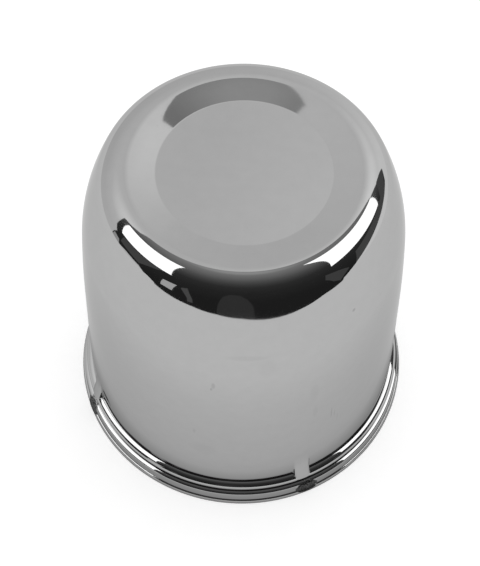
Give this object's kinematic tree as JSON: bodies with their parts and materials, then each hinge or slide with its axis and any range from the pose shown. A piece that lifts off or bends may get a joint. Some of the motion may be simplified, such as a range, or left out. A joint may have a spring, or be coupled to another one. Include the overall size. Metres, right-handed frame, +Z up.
{
  "type": "push-through wheel center cap",
  "caption": "Chromed steel cap, closed and dished at the top, that pushes through a wheel's bore from behind and stops on its beaded, stepped foot with four pressed lugs.",
  "frame": {"origin": "centre of the circle on which the lip rests, at the open end", "axes": "+Z up the axis of the cap to its closed top; +X and +Y are free, because the cap is round"},
  "size_m": [0.1168, 0.1168, 0.1142],
  "materials": {
    "cap": "polished chrome plate"
  },
  "bodies": {
    "root": {"cap": "cap"}
  },
  "joints": []
}
